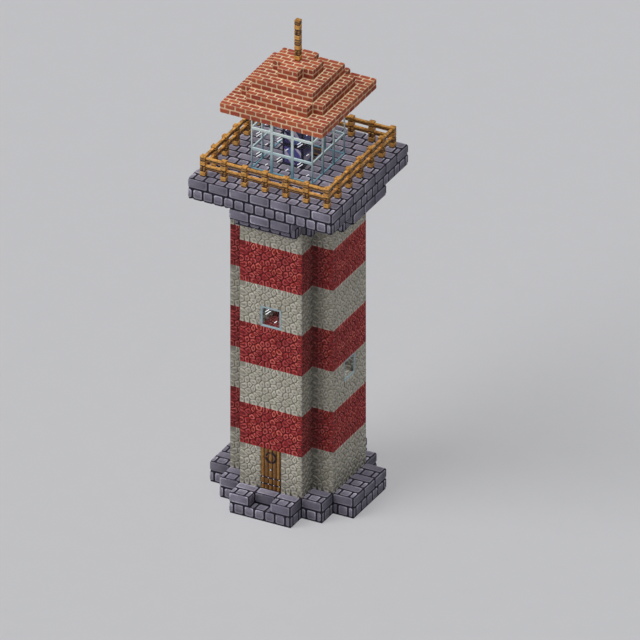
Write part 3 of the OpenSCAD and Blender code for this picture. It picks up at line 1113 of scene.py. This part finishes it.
def copy_along(thing, finish, *lines, size_change=0.0):
    """Repeats a piece along each (count, start, step) line in turn, then makes it plain.

    Only the first line's copies change in size.
    """
    places = {item.name: item.identifier for item in COPIES.interface.items_tree
              if item.in_out == "INPUT"}
    for n, (count, start, stride) in enumerate(lines):
        modifier = thing.modifiers.new("copies", "NODES")
        modifier.node_group = COPIES
        values = {"Count": count, "Start": Vector(start), "Step": Vector(stride),
                  "Size change": 0.0 if n else size_change, "Seed": 1,
                  "Finish": FINISHES[finish]}
        for label, value in values.items():
            modifier[places[label]] = value
    bpy.context.view_layer.update()
    graph = bpy.context.evaluated_depsgraph_get()
    mesh = bpy.data.meshes.new_from_object(thing.evaluated_get(graph))
    mesh.name = thing.name
    thing.modifiers.clear()
    thing.data = mesh
    return thing


# ---- camera, light and floor ----

VIEW_TURN = math.radians(27.93)                # camera's turn round the tower, from the front
VIEW_RISE = math.radians(29.71)                # camera's angle above the horizon
VIEW_WIDTH = 27.47 * BLOCK
VIEW_RIGHT = 0.94 * BLOCK                      # middle of the view from the tower's foot
VIEW_UP = 7.08 * BLOCK
VIEW_DISTANCE = 70 * BLOCK


def set_camera():
    right = Vector((math.cos(VIEW_TURN), math.sin(VIEW_TURN), 0))
    back = Vector((math.sin(VIEW_TURN) * math.cos(VIEW_RISE),
                   -math.cos(VIEW_TURN) * math.cos(VIEW_RISE), math.sin(VIEW_RISE)))
    up = back.cross(right)
    data = bpy.data.cameras.new("camera")
    data.type = "ORTHO"
    data.ortho_scale = VIEW_WIDTH
    data.clip_end = 300.0
    camera = bpy.data.objects.new("camera", data)
    place = right * VIEW_RIGHT + up * VIEW_UP + back * VIEW_DISTANCE
    turn = Matrix((right, up, back)).transposed().to_4x4()
    camera.matrix_world = Matrix.Translation(place) @ turn
    bpy.context.scene.collection.objects.link(camera)
    bpy.context.scene.camera = camera


# Each light as the share of full brightness it gives to faces that look right, back and up
# (less than nought for left and front), its softness in degrees, and whether it casts shadows
LIGHTS = {
    "key": ((-0.20, -0.25, 0.22), 50, True),
    "overhead": ((0.0, -0.08, 0.56), 20, False),
    "back_fill": ((0.0, 0.16, 0.0), 20, False),
}
SKY = (0.90, 0.94, 1.0, 1)
SKY_LIGHT = 0.112
SKY_SEEN = 0.85                                # how bright the sky looks behind the floor


def add_sun(name, shares, softness, shadows):
    data = bpy.data.lights.new(name, "SUN")
    data.energy = math.pi * Vector(shares).length
    data.angle = math.radians(softness)
    data.use_shadow = shadows
    light = bpy.data.objects.new(name, data)
    light.rotation_euler = Vector(shares).to_track_quat("Z", "Y").to_euler()
    bpy.context.scene.collection.objects.link(light)


def set_light():
    """A broad key from over the front left, even fills and a pale sky."""
    for name, (shares, softness, shadows) in LIGHTS.items():
        add_sun(name, shares, softness, shadows)
    world = bpy.data.worlds.new("pale_sky")
    world.use_nodes = True
    tree = world.node_tree
    sky = tree.nodes["Background"]
    sky.inputs["Color"].default_value = SKY
    seen = add_node(tree, "ShaderNodeLightPath").outputs["Is Camera Ray"]
    strength = add_node(tree, "ShaderNodeMapRange", Value=seen, To_Min=SKY_LIGHT, To_Max=SKY_SEEN)
    tree.links.new(strength.outputs["Result"], sky.inputs["Strength"])
    bpy.context.scene.world = world
    bpy.context.scene.view_settings.view_transform = "Standard"


def add_floor():
    reach = 220.0 * BLOCK
    shell = Shell()
    shell.add([(-reach, -reach, 0), (reach, -reach, 0), (reach, reach, 0), (-reach, reach, 0)],
              [[0, 1, 2, 3]])
    material, tree, shader = new_material("pale_floor")
    aged = use_group(tree, WEATHER, Colour=paint(0.81, 0.81, 0.82),
                     Stain_colour=paint(0.79, 0.79, 0.80), Stain=0.2, Speckle=0.02)
    tree.links.new(aged["Colour"], shader.inputs["Base Color"])
    shell.piece("studio_floor", [material])


# ---- masonry pieces ----


def make_cobbled_band(name, colour):
    shell = Shell()
    bed(shell, name, BED_DEPTH, 1)
    for panel in panels_of(name):
        lay_cobbles(shell, panel)
    piece = shell.piece(name + "_cobbles", finishes(colour + "_cobble", colour + "_bed"))
    settle(piece, "tower", colour + "_cobble", name)


def make_dressed_stone():
    """The plinth, floor, corbel and gallery, with stones bonded across their pieces."""
    shells = {name: Shell() for name in DRESSED}
    for name, shell in shells.items():
        bed(shell, name, BED_DEPTH, 1)
    for panel in panels_of(*DRESSED):
        lay_dressed(shells, panel)
    for name, shell in shells.items():
        settle(shell.piece(name + "_stones", finishes("dressed_stone", "dressed_bed")),
               "tower", "grey_stone", name)


def make_roof_course(name):
    shell = Shell()
    bed(shell, name, BRICK_BED_DEPTH, 1)
    for panel in panels_of(name):
        lay_bricks({name: shell}, panel)
    settle(shell.piece(name + "_bricks", finishes("roof_brick", "brick_bed")),
           "tower", "roof_brick", name)


# ---- timber posts, rails and finial ----

COURSE = BLOCK / 4                             # height of one timber course
COURSE_GROOVE = 0.056                          # height of the groove at its foot, whose core is painted dark as shade
GROOVE_DEPTH = 0.012
TIMBER_EDGE = 0.010                            # chamfer on the core behind the grooves, painted dark as shade
HIDDEN_EDGE = 0.004                            # chamfer on the dark core behind the grooves
PEG_GAP = 0.030                                # air over each of a split course's pegs
PEG_SIDE = 0.028                               # a peg's inner side, from the post's middle
SCORE_BELOW, SCORE_ABOVE = 0.022, 0.018        # a scored course's groove round its middle
PLAIN, SPLIT, SCORED = "plain", "split", "scored"
POST_COURSES = ((PLAIN, 0.90), (SPLIT, 0.25), (PLAIN, 0.75), (SCORED, 0.40))
FINIAL_COURSES = ((PLAIN, 0.90), (SPLIT, 0.25), (PLAIN, 0.85), (SCORED, 0.20),
                  (PLAIN, 0.85), (SPLIT, 0.25), (PLAIN, 0.90), (SCORED, 0.20))


def add_course(shell, half, low, kind, tone):
    """One course of a post, above the groove at its foot, whose core is painted dark as shade."""
    top, foot = low + COURSE, low + COURSE_GROOVE
    core = half - GROOVE_DEPTH
    chamfered_box(shell, (-core, -core, low), (core, core, top - COURSE_GROOVE), HIDDEN_EDGE,
                  rim=0.0)
    if kind == SPLIT:
        height = (top - foot) / 2
        for row in range(2):
            peg_low = foot + row * height
            for x in (-1, 1):
                for y in (-1, 1):
                    xs, ys = sorted((x * PEG_SIDE, x * half)), sorted((y * PEG_SIDE, y * half))
                    chamfered_box(shell, (xs[0], ys[0], peg_low),
                                  (xs[1], ys[1], peg_low + height - PEG_GAP), TIMBER_EDGE,
                                  tone + 0.1 * row)
        return
    parts = ((foot, top, tone),)
    if kind == SCORED:
        middle = (foot + top) / 2
        parts = ((foot, middle - SCORE_BELOW, tone), (middle + SCORE_ABOVE, top, tone + 0.3))
    for part_low, part_high, part_tone in parts:
        chamfered_box(shell, (-half, -half, part_low), (half, half, part_high), TIMBER_EDGE,
                      part_tone)


def post_of_courses(name, half, foot, courses):
    shell = Shell()
    for n, (kind, tone) in enumerate(courses):
        add_course(shell, half, foot + n * COURSE, kind, tone)
    return shell.piece(name, finishes("railing_timber"))


RAIL_LEVELS = ((0.375, 0.5625), (0.75, 0.9375))    # each rail's foot and head, in blocks
RAIL_TENON = 0.01                              # how far a rail's end runs into its post
SLOT_BELOW, SLOT_ABOVE = 0.040, 0.010          # the slot between a rail's two boards, painted dark as shade
JOINT_GAP = {True: 0.014, False: 0.004}        # half a gap in a jointed board, and in a plain one
LOW_BOARD_TONE, HIGH_BOARD_TONE = 0.15, 0.70
TONE_STRAY = 0.1
NEXT_TONE = 0.15                               # how far a short length's tone is over or under


def add_rail(shell, along, ends, line, half, low, high, jointed):
    """A rail of two boards with a slot between, painted dark as shade, cut in short lengths if
    jointed.
    """
    start, end = ends
    slot = (low + high) / 2
    count = round((end - start) / COURSE) if jointed else 1
    gap = JOINT_GAP[jointed]
    boards = ((low, slot - SLOT_BELOW, LOW_BOARD_TONE), (slot + SLOT_ABOVE, high, HIGH_BOARD_TONE))
    for row, (foot, head, tone) in enumerate(boards):
        for n in range(count):
            part = [start + (end - start) * k / count for k in (n, n + 1)]
            shade = tone + random.uniform(-TONE_STRAY, TONE_STRAY)
            if jointed:
                shade += NEXT_TONE if (n + row) % 2 else -NEXT_TONE
            bar(shell, along, (part[0] + gap, part[1] - gap), (line - half, line + half),
                (foot, head), TIMBER_EDGE, shade)
    bar(shell, along, ends, (line - half + GROOVE_DEPTH, line + half - GROOVE_DEPTH),
        (low + 0.01, high - 0.01), HIDDEN_EDGE, rim=0.0)


def make_railing(name):
    """Posts a block apart and two rails between them, on the node's own line."""
    low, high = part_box(name)
    along = long_axis(low, high)
    half = (high[1 - along] - low[1 - along]) / 2
    line = (high[1 - along] + low[1 - along]) / 2
    has_corners = high[along] > 3 * BLOCK - CELL / 4 + half
    count, first = (7, -3 * BLOCK) if has_corners else (5, -2 * BLOCK)
    posts = post_of_courses(name + "_posts", half, low.z, POST_COURSES)
    start, stride = [0.0, 0.0, 0.0], [0.0, 0.0, 0.0]
    start[along], start[1 - along], stride[along] = first, line, BLOCK
    copy_along(posts, "railing_timber", (count, start, stride))
    settle(posts, "tower", "railing_timber", name)
    rails = Shell()
    for bay in range(-3, 3):
        ends = (bay * BLOCK + half - RAIL_TENON, (bay + 1) * BLOCK - half + RAIL_TENON)
        for foot, head in RAIL_LEVELS:
            add_rail(rails, along, ends, line, half / 2, low.z + foot * BLOCK,
                     low.z + head * BLOCK, along == 1)
    settle(rails.piece(name + "_rails", finishes("railing_timber")), "tower", "railing_timber")


def make_finial():
    low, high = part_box("finial")
    post = post_of_courses("finial_courses", (high.x - low.x) / 2, low.z, FINIAL_COURSES)
    settle(post, "tower", "railing_timber", "finial")


# ---- lantern ----

BAR_EDGE = 0.010                               # chamfer on a glazing bar


def make_lantern_frame(name):
    """Upright bars and rails round the panes of one side, a block apart."""
    low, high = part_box(name)
    along = long_axis(low, high)
    sides = (low[1 - along], high[1 - along])
    width = sides[1] - sides[0]
    left, right = low[along], high[along]
    uprights = [(-CELL - width, -CELL + width), (CELL - width, CELL + width)]
    if right > SHAFT_FACE - width / 2:
        uprights = [(left, left + width), *uprights, (right - width, right)]
        left, right = left + width, right - width
    shell = Shell()
    for ends in uprights:
        bar(shell, along, ends, sides, (low.z, high.z), BAR_EDGE)
    middles = [low.z + n * BLOCK for n in (1, 2)]
    rails = [(low.z, low.z + width), *((z - width, z + width) for z in middles),
             (high.z - width, high.z)]
    for heights in rails:
        for ends in ((left, -CELL - width), (-CELL + width, CELL - width), (CELL + width, right)):
            bar(shell, along, ends, sides, heights, BAR_EDGE)
    settle(shell.piece(name + "_bars", finishes("glazing_bar")), "tower", "glazing_bar", name)


# Glints in a pane, as its right and down shares: start, end
GLINTS = (((0.23, 0.26), (0.41, 0.10)), ((0.24, 0.39), (0.48, 0.17)), ((0.66, 0.70), (0.78, 0.59)))
GLINT_WIDTH = 0.036
GLINT_THICKNESS = 0.004


def add_glint(shell, panel, left, high, start, end):
    """A thin slanting lozenge laid on the glass."""
    a = Vector((left + start[0] * BLOCK, high - start[1] * BLOCK))
    b = Vector((left + end[0] * BLOCK, high - end[1] * BLOCK))
    side = (b - a).normalized().orthogonal() * GLINT_WIDTH / 2
    tip = (b - a).normalized() * GLINT_WIDTH / 2
    outline = [a - side, a - tip * 0.6, a + side, b + side, b + tip * 0.6, b - side]
    if area([tuple(p) for p in outline]) < 0:
        outline.reverse()
    points = [panel.place(p.x, p.y, depth) for depth in (0.0, -GLINT_THICKNESS) for p in outline]
    back, *others = joined_rings(len(outline), 2)
    shell.add(points, others)
    shell.add([], [[n - len(points) for n in back]], finish=1)


def glass_panel(facing, distance):
    return Panel(facing, FACINGS[facing][1] * distance / CELL)


def make_glints():
    """The white glints on the front and back of the lantern and on the front window."""
    low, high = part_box("lantern_glass")
    lantern, window = Shell(), Shell()
    for facing in ("front", "back"):
        panel = glass_panel(facing, high.x)
        for column in (-1.5, -0.5, 0.5):
            for row in (1, 2, 3):
                for start, end in GLINTS:
                    add_glint(lantern, panel, column * BLOCK, low.z + row * BLOCK, start, end)
    panel = glass_panel("front", -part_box("window_glass")[0].y)
    for start, end in GLINTS:
        add_glint(window, panel, -CELL, WINDOWS["front"] + BLOCK, start, end)
    for shell, name in ((lantern, "lantern_glints"), (window, "window_glints")):
        settle(shell.piece(name, finishes("glint", "glass")), "tower", "glass")


PIER_INSET = 0.018                             # how far the fields' backing lies behind
PIER_GAP = 0.004                               # air over and under a block's field
PIER_CORNER = 0.008


def make_pier():
    """Three blocks of polished stone, each with a sunk field inside a dark border."""
    low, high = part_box("lamp_pier")
    shell = Shell()
    for n in range(round((high.z - low.z) / BLOCK)):
        foot, head = low.z + n * BLOCK, low.z + (n + 1) * BLOCK
        chamfered_box(shell, (low.x + PIER_INSET, low.y + PIER_INSET, foot),
                      (high.x - PIER_INSET, high.y - PIER_INSET, head), HIDDEN_EDGE, rim=0.0)
        for facing in ("front", "right", "back", "left"):
            outline = squared_outline(-CELL, CELL, foot + PIER_GAP, head - PIER_GAP, PIER_CORNER)
            limits = {"left": (-CELL, "outer", False), "right": (CELL, "outer", False)}
            set_stone(shell, glass_panel(facing, high.x), outline, PIER_RINGS, limits, 0.5,
                      cut=True)
    settle(shell.piece("lamp_pier_blocks", finishes("dark_stone")), "tower", "dark_stone",
           "lamp_pier")


# ---- windows ----

WINDOWS = {"front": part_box("white_band_3")[0].z, "right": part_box("white_band_2")[0].z + BLOCK,
           "left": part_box("white_band_2")[0].z + BLOCK}
FRAME_BAR = 0.0625 * BLOCK
BEAD_EDGE = FRAME_BAR + 0.030
# The frame's bar and the bead in it: outer and inner edge from the opening's side, and how far
# the front and the back lie behind the wall's face
FRAME_STEPS = ((0.0, FRAME_BAR, 0.0, FRAME_BAR), (FRAME_BAR, BEAD_EDGE, 0.010, 0.045))
FRAME_EDGE = 0.006


def make_window_frames():
    """A square of four bars in each window, with a thin glazing bead inside."""
    shell = Shell()
    for facing, sill in WINDOWS.items():
        _, sign, (along, turn), _ = FACINGS[facing]
        face, top = TOWER_FACE * sign, sill + BLOCK
        for outer, inner, near, far in FRAME_STEPS:
            depths = sorted((face - sign * near, face - sign * far))
            bars = ((-CELL + outer, -CELL + inner, sill + outer, top - outer),
                    (CELL - inner, CELL - outer, sill + outer, top - outer),
                    (-CELL + inner, CELL - inner, sill + outer, sill + inner),
                    (-CELL + inner, CELL - inner, top - inner, top - outer))
            for a, b, foot, head in bars:
                bar(shell, along, sorted((turn * a, turn * b)), depths, (foot, head), FRAME_EDGE)
    settle(shell.piece("window_frame_bars", finishes("window_bar")), "tower", "glazing_bar",
           "window_frames")


# ---- ladder ----

LADDER_REACH = 0.34                            # each rail's middle, from the ladder's
LADDER_RAIL = 0.07                             # width of a rail
LADDER_LENGTHS = 5                             # lengths of timber in each rail
LADDER_GAP = 0.004                             # gap between two lengths
RUNG_PITCH = 0.25
RUNG_HEIGHT = 0.045
RUNG_EDGE = 0.012


def make_ladder():
    """Two rails of several lengths each, and rungs between them."""
    low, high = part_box("ladder")
    length = (high.z - low.z) / LADDER_LENGTHS
    shell = Shell()
    for middle in (-LADDER_REACH, LADDER_REACH):
        for n in range(LADDER_LENGTHS):
            foot = low.z + n * length
            chamfered_box(shell, (middle - LADDER_RAIL / 2, low.y + 0.01, foot),
                          (middle + LADDER_RAIL / 2, high.y, foot + length - LADDER_GAP),
                          TIMBER_EDGE, random.uniform(0.3, 0.7))
    settle(shell.piece("ladder_rails", finishes("ladder_timber")), "tower", "ladder_timber",
           "ladder")
    rung = Shell()
    chamfered_box(rung, (low.x, low.y, 0), (high.x, high.y - 0.015, RUNG_HEIGHT), RUNG_EDGE, 0.6)
    rungs = rung.piece("ladder_rungs", finishes("ladder_timber"))
    count = round((high.z - low.z) / RUNG_PITCH)
    copy_along(rungs, "ladder_timber",
               (count, (0, 0, low.z + RUNG_PITCH / 2), (0, 0, RUNG_PITCH)))
    settle(rungs, "tower", "ladder_timber")


# ---- door ----

PLANK_EDGES = (0.01, 0.19, 0.385, 0.58, 0.775, 0.95)      # in shares of the doorway's width
PLANK_TONES = (0.72, 0.42, 0.60, 0.36, 0.80)
PLANK_GAP = 0.048
PLANK_EDGE = 0.012
BACKING_INSET = 0.020                          # how far the backing lies behind the planks
# the last plank, at the door's right edge, is toned dark as painted shade
EDGE_SHADE_PLANK_TONE = 0.12


def make_door_leaf():
    """Five upright planks on a thin backing, which is painted dark as shade in the grooves between
    them.
    """
    low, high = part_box("door_leaf")
    shell = Shell()
    inset = Vector((HIDDEN_EDGE, BACKING_INSET, HIDDEN_EDGE))
    chamfered_box(shell, low + inset, high - inset, HIDDEN_EDGE, rim=0.0)
    edges = [low.x + (share - PLANK_EDGES[0]) * BLOCK for share in PLANK_EDGES]
    for a, b, tone in zip(edges, edges[1:], PLANK_TONES):
        chamfered_box(shell, (a, low.y, low.z), (b - PLANK_GAP, high.y, high.z), PLANK_EDGE, tone)
    chamfered_box(shell, (edges[-1], low.y + HIDDEN_EDGE, low.z),
                  (high.x, high.y - HIDDEN_EDGE, high.z), PLANK_EDGE / 2, EDGE_SHADE_PLANK_TONE)
    settle(shell.piece("door_planks", finishes("door_timber")), "door", "door_timber", "door_leaf")


STRAP_HEIGHT = 0.07
STRAP_EDGE = 0.006
RIVET = ((0.0, 0.030), (0.010, 0.024), (0.016, 0.012))     # how far out, and the radius there
RIVET_SIDES = 10
RIVET_START, RIVET_STEP, RIVET_COUNT = -0.39, 0.265, 4
RIVET_CHANGE = 0.15                            # how much smaller a rivet may be


def make_door_bands():
    """Two iron straps across the foot of the door, with a row of worn rivets on each."""
    low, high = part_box("door_bands")
    shell = Shell()
    for foot in (low.z, high.z - STRAP_HEIGHT):
        chamfered_box(shell, (low.x, low.y, foot), (high.x, high.y, foot + STRAP_HEIGHT),
                      STRAP_EDGE)
    settle(shell.piece("door_band_straps", finishes("iron")), "door", "iron", "door_bands")
    rivet = Shell()
    add_turned(rivet, RIVET, RIVET_SIDES)
    rivets = rivet.piece("door_band_rivets", finishes("rivet"))
    start = (RIVET_START, low.y, low.z + STRAP_HEIGHT / 2)
    copy_along(rivets, "rivet", (RIVET_COUNT, start, (RIVET_STEP, 0, 0)),
               (2, (0, 0, 0), (0, 0, high.z - low.z - STRAP_HEIGHT)), size_change=RIVET_CHANGE)
    settle(rivets, "door", "iron")


def add_turned(shell, profile, sides, centre=(0, 0, 0), finish=0):
    """A closed solid turned about the door's outward axis: (distance out, radius) rings."""
    turns = [2 * math.pi * n / sides for n in range(sides)]
    points = [(centre[0] + radius * math.cos(turn), centre[1] - out,
               centre[2] + radius * math.sin(turn)) for out, radius in profile for turn in turns]
    shell.add(points, joined_rings(sides, len(profile)), finish=finish)


# The ring's four arcs: from and to in degrees, and the share of the full width each has
RING_ARCS = ((-4, 84, 1.0), (96, 170, 0.6), (186, 266, 1.0), (278, 348, 0.9))
RING_WIDTH = 0.095
RING_THICKNESS = 0.025
ARC_STEPS = 12
KNOB_PLATE = ((0.0, 0.060), (0.006, 0.060), (0.010, 0.050))
KNOB = ((0.009, 0.018), (0.022, 0.018), (0.026, 0.034), (0.036, 0.038), (0.044, 0.026))
KNOB_HEIGHT = 0.038                            # its middle, from the node's foot
KNOB_SIDES = 20


def add_arc(shell, centre, inner, outer, back, start, end):
    """A length of flat ring with chamfered edges."""
    face, edge = back - RING_THICKNESS, STRAP_EDGE
    section = ((inner, back), (outer, back), (outer, face + edge), (outer - edge, face),
               (inner + edge, face), (inner, face + edge))
    turns = [math.radians(start + (end - start) * n / ARC_STEPS) for n in range(ARC_STEPS + 1)]
    points = [(centre[0] + radius * math.cos(turn), y, centre[2] + radius * math.sin(turn))
              for turn in turns for radius, y in section]
    shell.add(points, [face[::-1] for face in joined_rings(len(section), len(turns))])


def make_door_ring():
    """The worn iron ring of four arcs, and the knob under it on its round plate."""
    low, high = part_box("door_ring_and_knob")
    radius = (high.x - low.x) / 2
    centre = ((low.x + high.x) / 2, high.y, high.z - radius)
    shell = Shell()
    for start, end, share in RING_ARCS:
        worn_off = (1 - share) * RING_WIDTH / 2
        add_arc(shell, centre, radius - RING_WIDTH * share - worn_off, radius - worn_off, high.y,
                start, end)
    knob_place = (centre[0], high.y, low.z + KNOB_HEIGHT)
    add_turned(shell, KNOB_PLATE, KNOB_SIDES, knob_place)
    add_turned(shell, KNOB, KNOB_SIDES, knob_place, 1)
    settle(shell.piece("door_ring_arcs", finishes("iron", "rivet")), "door", "iron",
           "door_ring_and_knob")


# ---- nodes shown as they are ----

NODE_FINISHES = {"lantern_glass": "glass", "window_glass": "glass", "door_hinge_eyes": "iron",
                 "door_pintles": "iron", "foundation": "dressed_bed"}


def finish_nodes():
    for name, finish in NODE_FINISHES.items():
        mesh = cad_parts[name].data
        mesh.materials.clear()
        mesh.materials.append(FINISHES[finish])


# ---- the whole lighthouse ----

set_camera()
set_light()
add_floor()
for band_name, band_colour in COBBLED.items():
    make_cobbled_band(band_name, band_colour)
make_dressed_stone()
for course_name in BRICKED:
    make_roof_course(course_name)
for railing_name in ("railing_front", "railing_back", "railing_left", "railing_right"):
    make_railing(railing_name)
make_finial()
for frame_name in ("lantern_frame_front", "lantern_frame_back", "lantern_frame_left",
                   "lantern_frame_right"):
    make_lantern_frame(frame_name)
make_pier()
make_window_frames()
make_glints()
make_ladder()
make_door_leaf()
make_door_bands()
make_door_ring()
finish_nodes()
